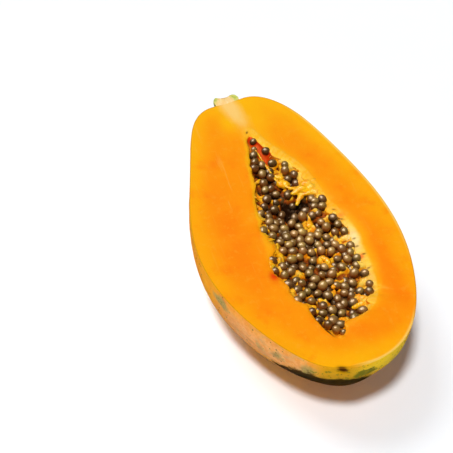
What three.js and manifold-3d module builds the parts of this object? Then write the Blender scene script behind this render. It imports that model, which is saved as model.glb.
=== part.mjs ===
// Half a papaya, cut lengthwise through its stalk and resting on its rounded skin with the cut face up.
// Three solids: the fruit half (skin and flesh, grown as one), the bunch of seeds that lines its cavity,
// and the half stub of stalk that is socketed in the neck.
//
// Units are millimetres. The shapes are written in the fruit's own frame: the cut face is the plane z = 0,
// X runs across it, and Y along it from the blossom end to the stalk, with y = 0 halfway. A station along the
// fruit is an angle: 0 at the blossom end and PI at the stalk. The group at the end stands that frame on the
// base: origin under the middle of the object, +Z up.

import * as THREE from "three";
import { mergeVertices } from "three/addons/utils/BufferGeometryUtils.js";
import Module from "manifold-3d";

// Driving dimensions of the fruit.
const FRUIT_LENGTH = 205; // without the stalk stub
const HALF_WIDTH = [56.8, 1.9, 4.0, -3.1, 2.5]; // cosine terms, each multiplied by the sine of the station
const BOW = [4.9, 5.0, 2.6, 1.8]; // how far the fruit's middle line bows towards +X, the same way
const ROUNDNESS = 1.05; // depth below the cut face over half width
const RIB = { count: 5, height: 0.012, atBlossom: 0.03, fade: 0.45 }; // share of the radius; fade in radians
const BASE_FLAT = 1.0; // depth of the flat spot pressed where the fruit rests
const DIMPLE = { depth: 3.4, reach: 12 }; // the hollow round the stalk
const SHOULDER = { x: 13, rise: 2.2, reach: 15 }; // the neck stands higher on the +X side of the stalk

// The seed cavity's edge in the cut face: [distance from the blossom end, left x, right x].
const CAVITY_EDGE = [
  [20.5, 1.5, 1.5], [22, -1, 4.2], [26, -3.5, 6], [30, -5, 7], [32, -6, 15], [38, -7.7, 24], [43, -9, 27],
  [48, -12, 30.2], [54, -14, 27.8], [62, -15, 30.8], [70, -18, 29.3], [77, -17.4, 29.3], [86, -14.6, 30.2],
  [95, -13.6, 31.5], [101, -16, 30], [107, -14.4, 27.2], [117, -13.2, 25.4], [127, -10.8, 22.8],
  [137, -8, 20.4], [147, -7.2, 15.6], [156, -5.2, 9], [163, -3.2, 5], [169, -2.5, 2.7], [174.5, 0.2, 0.2],
];
const CAVITY_ROUNDNESS = 0.95; // depth below the cut face over half width
const CAVITY_LEAST = 0.25; // least half width of a ring near the cavity's ends
const CAVITY_CROWDING = 0.5; // how much closer together the cavity's rings stand towards its ends

// Soft tufts of placenta on the cavity's wall: [distance from the blossom end, side, reach, width].
const TUFTS = [
  [125, 1, 10, 6.5], [150, 1, 4, 5], [108, 1, 6.5, 5], [86, 1, 6, 6], [66, 1, 4, 6], [54, 1, 3.5, 5],
  [43, 1, 7, 6], [108, -1, 5, 5], [86, -1, 5, 8], [60, -1, 2.5, 4], [45, -1, 5, 5],
];
const TUFT_DEPTH = 6;
const TUFT_SINK = 0.55; // share of that depth that a tuft's middle lies below the cut face
const TUFT_ROOT = 5; // how far a tuft reaches back into the flesh

// Driving dimensions of the seeds.
const SEED_RADII = [2.55, 2.55, 3.05];
const SEED_PASSES = [{ spacing: 4.7, drop: 0, tries: 6000 }, { spacing: 3.9, drop: 1.6, tries: 6000 }];
const SEED_FIELD = { left: -20, right: 35 }; // the seeds are thrown between these x, along the whole cavity
const SEED_EDGE = 2; // a seed's middle stays this far inside the cavity's wall,
const SEED_EDGE_SHARE = 0.25; // or this share of the cavity's half width where that is less
const SEED_TUFT_GAP = 1.4; // and this far clear of the tufts
const SEED_LIFT = 1.2; // the seeds of one pass differ this much in height
const SEED_TOP = -2.9; // height of a seed's middle beside the rim
const BED_SAG = 3.2; // how much lower the bed is along its middle
const BED_FULL_SAG = 20; // half width of the cavity from which the bed sags that much
const BED_HOLE = { x: 1, y: 112, depth: 7.5, radius: 6.5 }; // y from the blossom end
const RANDOM_SEED = 20260;
const CORE_GAP = 0.9; // between the bunch's core and the cavity's wall
const SEED_GAP = 0.4; // between the outermost seeds and the wall
const CORE_DROP = 1.1; // the core's top below the seeds' middles
const CORE_FIELD = { left: -30, right: 45, from: 10, to: 185, bottom: -60 }; // from, to: from the blossom end

// Driving dimensions of the stalk stub.
const STUB = {
  x: -4.2, root: 197, top: 206.6, radius: 7.3, waist: 6.8, waistAt: 0.4, rootRadius: 6.2, flare: 1.5,
  earRise: 1.6, slant: 0.7,
};
const SOCKET_GAP = 0.4;

// How finely the surfaces are faceted.
const STATIONS = 54;
const AROUND = 40;
const CAVITY_STATIONS = 54;
const CAVITY_AROUND = 24;
const BED_GRID = [10, 19];
const TUFT_DETAIL = 1;
const SEED_DETAIL = 0;
const STUB_LEVELS = 5;
const STUB_AROUND = 20;
const STUB_CAPS = [0.75, 0.35]; // radii of the rings across the stub's top, as shares of its edge's
const STEPS_PER_MM = 1e4; // points are rounded to this many steps in a millimetre
const BEYOND = 200; // farther out than any point of the fruit

const wasm = await Module();
wasm.setup();

// ---- Solids ----

// A closed triangle mesh from [x, y, z] points and index triples, as a manifold solid.
function solidFrom(points, triangles) {
  const rounded = (value) => Math.round(value * STEPS_PER_MM) / STEPS_PER_MM;
  return new wasm.Manifold(new wasm.Mesh({
    numProp: 3,
    vertProperties: new Float32Array(points.flat().map(rounded)),
    triVerts: new Uint32Array(triangles.flat()),
  }));
}

// A three.js geometry whose shared vertices are merged, as a manifold solid.
function solidOf(geometry, matrix) {
  const bare = new THREE.BufferGeometry();
  bare.setAttribute("position", geometry.getAttribute("position").clone());
  if (geometry.index) bare.setIndex(geometry.index.clone());
  const merged = mergeVertices(bare.applyMatrix4(matrix), 1 / STEPS_PER_MM);
  return new wasm.Manifold(new wasm.Mesh({
    numProp: 3,
    vertProperties: new Float32Array(merged.attributes.position.array),
    triVerts: new Uint32Array(merged.index.array),
  }));
}

// Rings of points, each running anticlockwise seen from the next ring, closed by one point at each end.
function loft(firstPole, rings, lastPole) {
  const n = rings[0].length;
  const points = [firstPole, ...rings.flat(), lastPole];
  const last = points.length - 1;
  const at = (ring, i) => 1 + ring * n + (i % n);
  const triangles = [];
  for (let i = 0; i < n; i++) {
    triangles.push([0, at(0, i + 1), at(0, i)]);
    for (let r = 0; r + 1 < rings.length; r++) {
      triangles.push([at(r, i), at(r, i + 1), at(r + 1, i + 1)], [at(r, i), at(r + 1, i + 1), at(r + 1, i)]);
    }
    triangles.push([last, at(rings.length - 1, i), at(rings.length - 1, i + 1)]);
  }
  const made = solidFrom(points, triangles);
  return made.volume() > 0 ? made : solidFrom(points, triangles.map(([a, b, c]) => [a, c, b]));
}

function box(low, high) {
  const size = high.map((h, i) => h - low[i]);
  const middle = high.map((h, i) => (h + low[i]) / 2);
  return solidOf(new THREE.BoxGeometry(...size), new THREE.Matrix4().makeTranslation(...middle));
}

function ellipsoid(centre, radii, detail, turn = new THREE.Quaternion()) {
  const matrix = new THREE.Matrix4().compose(
    new THREE.Vector3(...centre), turn, new THREE.Vector3(...radii));
  return solidOf(new THREE.IcosahedronGeometry(1, detail), matrix);
}

function meshOf(name, solid, material) {
  const { numProp, numVert, vertProperties, triVerts } = solid.getMesh();
  const positions = new Float32Array(numVert * 3);
  for (let i = 0; i < numVert; i++) {
    positions.set(vertProperties.subarray(i * numProp, i * numProp + 3), i * 3);
  }
  const geometry = new THREE.BufferGeometry();
  geometry.setAttribute("position", new THREE.BufferAttribute(positions, 3));
  geometry.setIndex(new THREE.BufferAttribute(triVerts, 1));
  geometry.computeVertexNormals();
  const mesh = new THREE.Mesh(geometry, material);
  mesh.name = name;
  return mesh;
}

// ---- The fruit's outline ----

const cosineSum = (terms, angle) => terms.reduce((sum, term, i) => sum + term * Math.cos(i * angle), 0);
const fromBlossom = (distance) => distance - FRUIT_LENGTH / 2; // y of a point that far along the fruit

// Middle line and half width of the fruit at a station.
function fruitAt(angle) {
  const sine = Math.sin(angle);
  return {
    x: sine * cosineSum(BOW, angle),
    y: (-Math.cos(angle) * FRUIT_LENGTH) / 2,
    half: sine * cosineSum(HALF_WIDTH, angle),
  };
}

// How far a point at the stalk end is pushed in by the hollow round the stalk, and out by the high shoulder.
function dimple(x, y, z) {
  const hollow = DIMPLE.depth * Math.exp(-(((x - STUB.x) ** 2 + z * z) / DIMPLE.reach ** 2));
  const shoulder = SHOULDER.rise * Math.exp(-(((x - SHOULDER.x) ** 2 + z * z) / SHOULDER.reach ** 2));
  return y > 0 ? hollow - shoulder : 0;
}

function fruitPoint(angle, around) {
  const { x, y, half } = fruitAt(angle);
  const rib = RIB.height + RIB.atBlossom * Math.exp(-((angle / RIB.fade) ** 2));
  const radius = half * (1 + rib * Math.cos(RIB.count * (around + Math.PI / 2)));
  const px = x + radius * Math.cos(around);
  const pz = radius * ROUNDNESS * Math.sin(around);
  return [px, y - dimple(px, y, pz), pz];
}

// ---- The cavity ----

// Middle and half width of the cavity that far from the blossom end, on a smooth curve through the edge points.
function cavityAt(distance) {
  const rows = CAVITY_EDGE;
  const last = rows.length - 1;
  const after = Math.min(Math.max(rows.findIndex((row) => row[0] >= distance), 1), last);
  const [p, q, r, s] = [-2, -1, 0, 1].map((step) => rows[Math.min(Math.max(after + step, 0), last)]);
  const t = (distance - q[0]) / (r[0] - q[0]);
  const edge = (side) => {
    const slopeIn = ((r[side] - p[side]) / (r[0] - p[0])) * (r[0] - q[0]);
    const slopeOut = ((s[side] - q[side]) / (s[0] - q[0])) * (r[0] - q[0]);
    return q[side] * (1 + 2 * t) * (1 - t) ** 2 + slopeIn * t * (1 - t) ** 2
      + r[side] * t * t * (3 - 2 * t) + slopeOut * t * t * (t - 1);
  };
  return { x: (edge(1) + edge(2)) / 2, half: Math.max((edge(2) - edge(1)) / 2, 0) };
}

const cavityFrom = CAVITY_EDGE[0][0];
const cavityTo = CAVITY_EDGE[CAVITY_EDGE.length - 1][0];
const insideEnds = (distance) => distance > cavityFrom && distance < cavityTo;

function cavitySolid(gap) {
  const rings = [];
  const pole = (distance) => [cavityAt(distance).x, fromBlossom(distance), 0];
  for (let i = 1; i < CAVITY_STATIONS; i++) {
    const t = i / CAVITY_STATIONS;
    const share = t - (CAVITY_CROWDING * Math.sin(2 * Math.PI * t)) / (2 * Math.PI);
    const distance = cavityFrom + gap + (cavityTo - cavityFrom - 2 * gap) * share;
    const { x, half } = cavityAt(distance);
    const radius = Math.max(half - gap, CAVITY_LEAST);
    const y = fromBlossom(distance);
    rings.push(Array.from({ length: CAVITY_AROUND }, (_, k) => {
      const around = (2 * Math.PI * k) / CAVITY_AROUND;
      return [x + radius * Math.cos(around), y, radius * CAVITY_ROUNDNESS * Math.sin(around)];
    }));
  }
  return loft(pole(cavityFrom + gap / 2), rings, pole(cavityTo - gap / 2));
}

// Centre and radii of the ellipsoid that a tuft is made of.
function tuft([distance, side, reach, width]) {
  const { x, half } = cavityAt(distance);
  const middle = x + side * (half + (TUFT_ROOT - reach) / 2);
  return {
    centre: [middle, fromBlossom(distance), -TUFT_DEPTH * TUFT_SINK],
    radii: [(reach + TUFT_ROOT) / 2, width / 2, TUFT_DEPTH],
  };
}
const tufts = TUFTS.map(tuft);

// ---- The seeds ----

// Numbers from 0 to 1, the same on every run.
function randomNumbers(start) {
  let state = start;
  return () => {
    state = (state * 1664525 + 1013904223) % 4294967296;
    return state / 4294967296;
  };
}

// Height of the seeds' middles: level beside the rim, lower along the middle, with one deeper hole.
function bedHeight(x, y) {
  const distance = y + FRUIT_LENGTH / 2;
  const across = insideEnds(distance) ? cavityAt(distance) : { x, half: 0 };
  const inward = 1 - Math.min(1, Math.abs(x - across.x) / Math.max(across.half, 1)) ** 2;
  const hole = ((x - BED_HOLE.x) ** 2 + (distance - BED_HOLE.y) ** 2) / BED_HOLE.radius ** 2;
  const sag = BED_SAG * inward * Math.min(1, across.half / BED_FULL_SAG);
  return SEED_TOP - sag - BED_HOLE.depth * Math.exp(-hole);
}

// Whether a seed's middle there is clear of the wall, which curves in below the cut face.
function insideCavity(x, y, z) {
  const distance = y + FRUIT_LENGTH / 2;
  if (!insideEnds(distance)) return false;
  const across = cavityAt(distance);
  const margin = Math.min(SEED_EDGE, SEED_EDGE_SHARE * across.half);
  return Math.hypot(x - across.x, z / CAVITY_ROUNDNESS) < across.half - margin;
}

function clearOfTufts(x, y) {
  return tufts.every(({ centre, radii }) => {
    const [reach, width] = [radii[0] + SEED_TUFT_GAP, radii[1] + SEED_TUFT_GAP];
    return Math.hypot((x - centre[0]) / reach, (y - centre[1]) / width) > 1;
  });
}

// Seeds thrown at random into the cavity, each kept if it is clear of the wall and of the seeds before it.
function seedPlaces() {
  const random = randomNumbers(RANDOM_SEED);
  const places = [];
  for (const { spacing, drop, tries } of SEED_PASSES) {
    for (let i = 0; i < tries; i++) {
      const x = SEED_FIELD.left + (SEED_FIELD.right - SEED_FIELD.left) * random();
      const y = fromBlossom(cavityFrom + (cavityTo - cavityFrom) * random());
      const turn = [random(), random(), random()];
      const z = bedHeight(x, y) - drop + SEED_LIFT * (turn[0] - 0.5);
      if (!insideCavity(x, y, z) || !clearOfTufts(x, y)) continue;
      if (places.every((p) => Math.hypot(p.x - x, p.y - y) >= spacing)) places.push({ x, y, z, turn });
    }
  }
  return places;
}

// A turn drawn evenly from all turns.
function evenTurn([a, b, c]) {
  const [p, q] = [Math.sqrt(1 - a), Math.sqrt(a)];
  const [s, t] = [2 * Math.PI * b, 2 * Math.PI * c];
  return new THREE.Quaternion(p * Math.sin(s), p * Math.cos(s), q * Math.sin(t), q * Math.cos(t));
}

// Everything under the bed: a height field over the cavity, closed with flat sides and a flat bottom.
function underBed() {
  const [columns, rows] = BED_GRID;
  const { left, right, bottom } = CORE_FIELD;
  const [near, far] = [fromBlossom(CORE_FIELD.from), fromBlossom(CORE_FIELD.to)];
  const points = [];
  const side = (columns + 1) * (rows + 1);
  for (const top of [true, false]) {
    for (let j = 0; j <= rows; j++) {
      for (let i = 0; i <= columns; i++) {
        const [x, y] = [left + ((right - left) * i) / columns, near + ((far - near) * j) / rows];
        points.push([x, y, top ? bedHeight(x, y) - CORE_DROP : bottom]);
      }
    }
  }
  const at = (i, j, low) => j * (columns + 1) + i + (low ? side : 0);
  const triangles = [];
  const quad = (a, b, c, d) => triangles.push([a, b, c], [a, c, d]);
  for (let j = 0; j < rows; j++) {
    for (let i = 0; i < columns; i++) {
      quad(at(i, j), at(i + 1, j), at(i + 1, j + 1), at(i, j + 1));
      quad(at(i, j, 1), at(i, j + 1, 1), at(i + 1, j + 1, 1), at(i + 1, j, 1));
    }
    quad(at(0, j), at(0, j + 1), at(0, j + 1, 1), at(0, j, 1));
    quad(at(columns, j), at(columns, j, 1), at(columns, j + 1, 1), at(columns, j + 1));
  }
  for (let i = 0; i < columns; i++) {
    quad(at(i, 0), at(i, 0, 1), at(i + 1, 0, 1), at(i + 1, 0));
    quad(at(i, rows), at(i + 1, rows), at(i + 1, rows, 1), at(i, rows, 1));
  }
  return solidFrom(points, triangles);
}

// The cavity with a gap all round, less the tufts that stand into it.
function cavityInside(gap) {
  return tufts.reduce((left, { centre, radii }) =>
    left.subtract(ellipsoid(centre, radii.map((r) => r + gap), TUFT_DETAIL)), cavitySolid(gap));
}

function seedsSolid() {
  const core = cavityInside(CORE_GAP).intersect(underBed());
  const seeds = seedPlaces().map(({ x, y, z, turn }) =>
    ellipsoid([x, y, z], SEED_RADII, SEED_DETAIL, evenTurn(turn)));
  const bunch = wasm.Manifold.union([core, ...seeds]).intersect(cavityInside(SEED_GAP)).decompose();
  return bunch.reduce((most, piece) => (piece.volume() > most.volume() ? piece : most));
}

// ---- The stalk stub ----

// Half width of the stub at a height between its root, 0, and its top, 1.
function stubRadius(height) {
  const { radius, waist, waistAt, rootRadius, flare } = STUB;
  return height < waistAt
    ? THREE.MathUtils.lerp(rootRadius, waist, height / waistAt)
    : THREE.MathUtils.lerp(waist, radius, ((height - waistAt) / (1 - waistAt)) ** flare);
}

// A whole round stub, snapped off unevenly: its edge stands up in two ears, with the pith lower between them.
function stubSolid(gap) {
  const height = (x) => STUB.top + STUB.earRise * (x / STUB.radius) ** 2 + (STUB.slant * x) / STUB.radius;
  const ring = (radius, y) => Array.from({ length: STUB_AROUND }, (_, k) => {
    const around = (2 * Math.PI * k) / STUB_AROUND;
    const x = radius * Math.cos(around);
    return [STUB.x + x, fromBlossom(y(x)), radius * Math.sin(around)];
  });
  const rings = [];
  for (let i = 0; i <= STUB_LEVELS; i++) {
    const share = i / STUB_LEVELS;
    const y = (x) => THREE.MathUtils.lerp(STUB.root - gap, height(x), share);
    rings.push(ring(stubRadius(share) + gap, y));
  }
  for (const share of STUB_CAPS) rings.push(ring((STUB.radius + gap) * share, (x) => height(x)));
  return loft([STUB.x, fromBlossom(STUB.root - gap), 0], rings, [STUB.x, fromBlossom(STUB.top), 0]);
}

// ---- The three pieces ----

const deepest = (() => {
  let depth = 0;
  for (let i = 1; i < STATIONS; i++) {
    depth = Math.max(depth, -fruitPoint((Math.PI * i) / STATIONS, -Math.PI / 2)[2]);
  }
  return depth - BASE_FLAT;
})();
const belowCut = box([-BEYOND, -BEYOND, -deepest], [BEYOND, BEYOND, 0]);

function fruitSolid() {
  const rings = [];
  for (let i = 1; i < STATIONS; i++) {
    rings.push(Array.from({ length: AROUND }, (_, k) =>
      fruitPoint((Math.PI * i) / STATIONS, (2 * Math.PI * k) / AROUND)));
  }
  let fruit = loft(fruitPoint(0, 0), rings, fruitPoint(Math.PI, 0)).subtract(cavitySolid(0));
  for (const { centre, radii } of tufts) fruit = fruit.add(ellipsoid(centre, radii, TUFT_DETAIL));
  return fruit.subtract(stubSolid(SOCKET_GAP)).intersect(belowCut);
}

const flesh = new THREE.MeshStandardMaterial({ color: 0xff9a10, roughness: 0.45, metalness: 0 });
const seedSkin = new THREE.MeshStandardMaterial({ color: 0x3f3426, roughness: 0.3, metalness: 0 });
const stalk = new THREE.MeshStandardMaterial({ color: 0xd9cf6a, roughness: 0.7, metalness: 0 });

const fruitFrame = new THREE.Group();
fruitFrame.add(meshOf("fruit_half", fruitSolid(), flesh));
fruitFrame.add(meshOf("seeds", seedsSolid(), seedSkin));
fruitFrame.add(meshOf("stalk_stub", stubSolid(0).intersect(belowCut), stalk));

// Stand the fruit on its flat spot, with the origin under the middle of everything.
const extent = new THREE.Box3().setFromObject(fruitFrame);
const middle = extent.getCenter(new THREE.Vector3());
fruitFrame.position.set(-middle.x, -middle.y, deepest);

const papayaHalf = new THREE.Group();
papayaHalf.add(fruitFrame);

export default papayaHalf;
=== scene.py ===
"""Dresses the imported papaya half: its flesh, skin, seeds, pulp and stalk, on a white floor in soft light.

The shapes are worked out in millimetres in the fruit's own frame: the cut face is the plane z = 0, x runs
across it, and y along it from the blossom end to the stalk, with y = 0 halfway. "Distance" is measured
along the fruit from the blossom end, so y is distance - MIDDLE. to_row() turns points into the row frame, in
metres.
"""

from math import cos, exp, hypot, pi, radians, sin, sqrt

import bmesh
import bpy
import numpy as np
from mathutils import Matrix, Quaternion, Vector, noise


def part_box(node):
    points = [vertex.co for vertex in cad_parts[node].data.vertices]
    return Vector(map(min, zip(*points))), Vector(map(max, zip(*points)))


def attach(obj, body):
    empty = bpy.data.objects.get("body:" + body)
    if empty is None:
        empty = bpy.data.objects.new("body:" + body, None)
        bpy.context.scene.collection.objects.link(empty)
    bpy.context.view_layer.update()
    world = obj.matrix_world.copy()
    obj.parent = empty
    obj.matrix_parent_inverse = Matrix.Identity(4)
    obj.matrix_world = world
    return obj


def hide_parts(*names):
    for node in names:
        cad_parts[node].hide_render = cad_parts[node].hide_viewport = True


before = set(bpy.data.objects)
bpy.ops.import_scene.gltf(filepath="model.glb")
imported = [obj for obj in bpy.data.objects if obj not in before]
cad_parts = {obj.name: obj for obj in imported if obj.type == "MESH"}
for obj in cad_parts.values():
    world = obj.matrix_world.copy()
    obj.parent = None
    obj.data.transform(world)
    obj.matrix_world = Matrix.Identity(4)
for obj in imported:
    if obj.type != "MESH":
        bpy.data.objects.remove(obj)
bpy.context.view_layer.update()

MM = 0.001

# The fruit's outline, as in the part's source.
LENGTH = 205
MIDDLE = LENGTH / 2
HALF_WIDTH = (56.8, 1.9, 4, -3.1, 2.5)
BOW = (4.9, 5, 2.6, 1.8)
ROUNDNESS = 1.05
RIB_COUNT = 5
RIB_HEIGHT = 0.012
RIB_AT_BLOSSOM = 0.03
RIB_FADE = 0.45
DIMPLE_DEPTH, DIMPLE_REACH = 3.4, 12
SHOULDER_X, SHOULDER_RISE, SHOULDER_REACH = 13, 2.2, 15

# The cavity's edge: (distance, left x, right x).
CAVITY_EDGE = (
    (20.5, 1.5, 1.5), (22, -1, 4.2), (26, -3.5, 6), (30, -5, 7), (32, -6, 15), (38, -7.7, 24), (43, -9, 27),
    (48, -12, 30.2), (54, -14, 27.8), (62, -15, 30.8), (70, -18, 29.3), (77, -17.4, 29.3),
    (86, -14.6, 30.2), (95, -13.6, 31.5), (101, -16, 30), (107, -14.4, 27.2), (117, -13.2, 25.4),
    (127, -10.8, 22.8), (137, -8, 20.4), (147, -7.2, 15.6), (156, -5.2, 9), (163, -3.2, 5),
    (169, -2.5, 2.7), (174.5, 0.2, 0.2),
)
CAVITY_ROUNDNESS = 0.95
CAVITY_FROM, CAVITY_TO = CAVITY_EDGE[0][0], CAVITY_EDGE[-1][0]
EDGE_AT, EDGE_LEFT, EDGE_RIGHT = np.array(CAVITY_EDGE).T

# Tufts on the cavity's wall: (distance, side, reach, width).
TUFTS = (
    (125, 1, 10, 6.5), (150, 1, 4, 5), (108, 1, 6.5, 5), (86, 1, 6, 6), (66, 1, 4, 6), (54, 1, 3.5, 5),
    (43, 1, 7, 6), (108, -1, 5, 5), (86, -1, 5, 8), (60, -1, 2.5, 4), (45, -1, 5, 5),
)
TUFT_ROOT = 5

# The seeds: their radii, their room to the wall and to the tufts, how they lie, and the shape of their heap.
SEED_RADII = (2.55, 2.55, 3.05)
SEED_LUMPS = (0.035, 0.8)
SEED_EDGE, SEED_EDGE_SHARE = 2, 0.25
TUFT_MARGIN = 1.4
SEED_LIFT = 1.2
SEED_TOP = -2.9
BED_SAG = 3.2
BED_HOLE_X, BED_HOLE_DISTANCE, BED_HOLE_DEPTH, BED_HOLE_RADIUS = 1, 112, 7.5, 6.5
RANDOM_SEED = 20260
SEEDS_FROM_X, SEEDS_ACROSS = -20, 55
# Passes of seeds, as (spacing, drop under the heap's top, tries): two of the part's source and a deeper one.
UPPER_PASS, LOWER_PASS, DEEP_PASS = (4.7, 0, 6000), (3.9, 1.6, 6000), (4.3, 3.9, 4000)

# The stalk stub: where it stands, its root and top, and where it comes clear of the neck.
STUB_X, STUB_ROOT, STUB_TOP, STUB_CLEAR = -4.3, 197, 207.5, 204
STUB_RADIUS, STUB_WAIST, STUB_ROOT_RADIUS, STUB_EAR, STUB_SLANT = 7.7, 6.9, 6.2, 1.7, 0.7

# How finely the body is divided: along the fruit, round its skin, across the face and round the cavity.
STATIONS, SKIN_STEPS, FACE_STEPS, WALL_STEPS = 260, 112, 40, 60


# ---- Places ----

def cosine_sum(terms, angle):
    return sum(term * np.cos(i * angle) for i, term in enumerate(terms))


def outline(angle):
    """Middle line x, y and half width of the fruit at a station: 0 at the blossom end, pi at the stalk."""
    sine = np.sin(angle)
    return sine * cosine_sum(BOW, angle), -np.cos(angle) * MIDDLE, sine * cosine_sum(HALF_WIDTH, angle)


def stalk_end_push(x, y, z):
    """How far the hollow round the stalk and the high shoulder move a point towards the blossom end."""
    hollow = DIMPLE_DEPTH * np.exp(-((x - STUB_X) ** 2 + z ** 2) / DIMPLE_REACH ** 2)
    shoulder = SHOULDER_RISE * np.exp(-((x - SHOULDER_X) ** 2 + z ** 2) / SHOULDER_REACH ** 2)
    return np.where(y > 0, hollow - shoulder, 0)


def skin_points(angle, around):
    x, y, half = outline(angle)
    rib = RIB_HEIGHT + RIB_AT_BLOSSOM * np.exp(-((angle / RIB_FADE) ** 2))
    radius = half * (1 + rib * np.cos(RIB_COUNT * (around + pi / 2)))
    px = x + radius * np.cos(around)
    pz = radius * ROUNDNESS * np.sin(around)
    return px, y - stalk_end_push(px, y, pz), pz


def cavity_across(distance):
    """Middle x and half width of the cavity, on a smooth curve through its edge points."""
    rows = CAVITY_EDGE
    after = next((i for i, row in enumerate(rows) if row[0] >= distance), len(rows) - 1)
    after = min(max(after, 1), len(rows) - 1)
    p, q, r, s = (rows[min(max(after + step, 0), len(rows) - 1)] for step in (-2, -1, 0, 1))
    t = (distance - q[0]) / (r[0] - q[0])

    def edge(side):
        slope_in = (r[side] - p[side]) / (r[0] - p[0]) * (r[0] - q[0])
        slope_out = (s[side] - q[side]) / (s[0] - q[0]) * (r[0] - q[0])
        return (q[side] * (1 + 2 * t) * (1 - t) ** 2 + slope_in * t * (1 - t) ** 2
                + r[side] * t * t * (3 - 2 * t) + slope_out * t * t * (t - 1))

    return (edge(1) + edge(2)) / 2, max((edge(2) - edge(1)) / 2, 0)


FRUIT_LOW, FRUIT_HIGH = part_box("fruit_half")
LEFT_EDGE = min(x - half for x, _, half in (outline(a) for a in np.linspace(0.1, 3, 400)))
DEEPEST = FRUIT_HIGH.z / MM
TO_ROW = np.array([FRUIT_LOW.x / MM - LEFT_EDGE, FRUIT_LOW.y / MM + MIDDLE, DEEPEST])


def to_row(points):
    return (np.asarray(points, float) + TO_ROW) * MM


def bounded(values):
    return np.clip(values, 0, 1)


def wobble(points, height, size, offset=0):
    """Smooth noise of about that height at each point, changing over that many millimetres."""
    shift = Vector((offset, offset * 1.7, -offset))
    return height * np.array([noise.noise(Vector(p) / size + shift) for p in points])


# ---- Meshes ----

# Edges sharper than this stay sharp in the shading.
SHARP_DEGREES = 50


def grid_faces(ids):
    """Quads over a 2-D array of vertex numbers."""
    return np.stack([ids[:-1, :-1], ids[:-1, 1:], ids[1:, 1:], ids[1:, :-1]], -1).reshape(-1, 4).tolist()


def round_trip(first, grid, last):
    """A loop through a first point, down the grid's right edge, through a last point and up its left edge."""
    return np.concatenate([[first], grid[:, 0], [last], grid[::-1, -1]])


def fan(centre, ring):
    return [[centre, a, b] for a, b in zip(ring[:-1], ring[1:])]


def add_object(name, data):
    thing = bpy.data.objects.new(name, data)
    bpy.context.scene.collection.objects.link(thing)
    return thing


def copies(shapes, faces):
    """The points and faces of one mesh, from shapes that share a pattern of faces."""
    firsts = np.arange(len(shapes))[:, None, None] * len(shapes[0])
    return np.concatenate(shapes), (faces + firsts).reshape(-1, 3).tolist()


def make_object(name, points, faces, materials, slot, node, attributes=None, face_materials=None):
    """A smooth-shaded closed object from points in millimetres, on the root, which stands for a node."""
    mesh = bpy.data.meshes.new(name)
    mesh.from_pydata(to_row(points).tolist(), [], faces)
    for material in materials:
        mesh.materials.append(material)
    for key, values in (attributes or {}).items():
        mesh.attributes.new(key, "FLOAT", "POINT").data.foreach_set("value", np.asarray(values, np.float32))
    if face_materials is not None:
        mesh.polygons.foreach_set("material_index", np.asarray(face_materials, np.int32))
    work = bmesh.new()
    work.from_mesh(mesh)
    bmesh.ops.recalc_face_normals(work, faces=work.faces)
    work.to_mesh(mesh)
    work.free()
    mesh.polygons.foreach_set("use_smooth", np.ones(len(mesh.polygons), bool))
    mesh.set_sharp_from_angle(angle=radians(SHARP_DEGREES))
    thing = add_object(name, mesh)
    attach(thing, "root")
    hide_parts(node)
    return thing


# ---- Materials ----

def srgb(red, green, blue):
    """An 8-bit screen colour as a linear one with alpha."""
    def linear(value):
        value /= 255
        return value / 12.92 if value <= 0.04045 else ((value + 0.055) / 1.055) ** 2.4
    return linear(red), linear(green), linear(blue), 1


# How much light falls on the cut face, next to a white surface that shows as white.
LIGHT = 1.25


def seen(red, green, blue):
    """The surface colour that shows as an 8-bit screen colour on the cut face in this light."""
    return tuple(part / LIGHT for part in srgb(red, green, blue)[:3]) + (1,)


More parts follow.
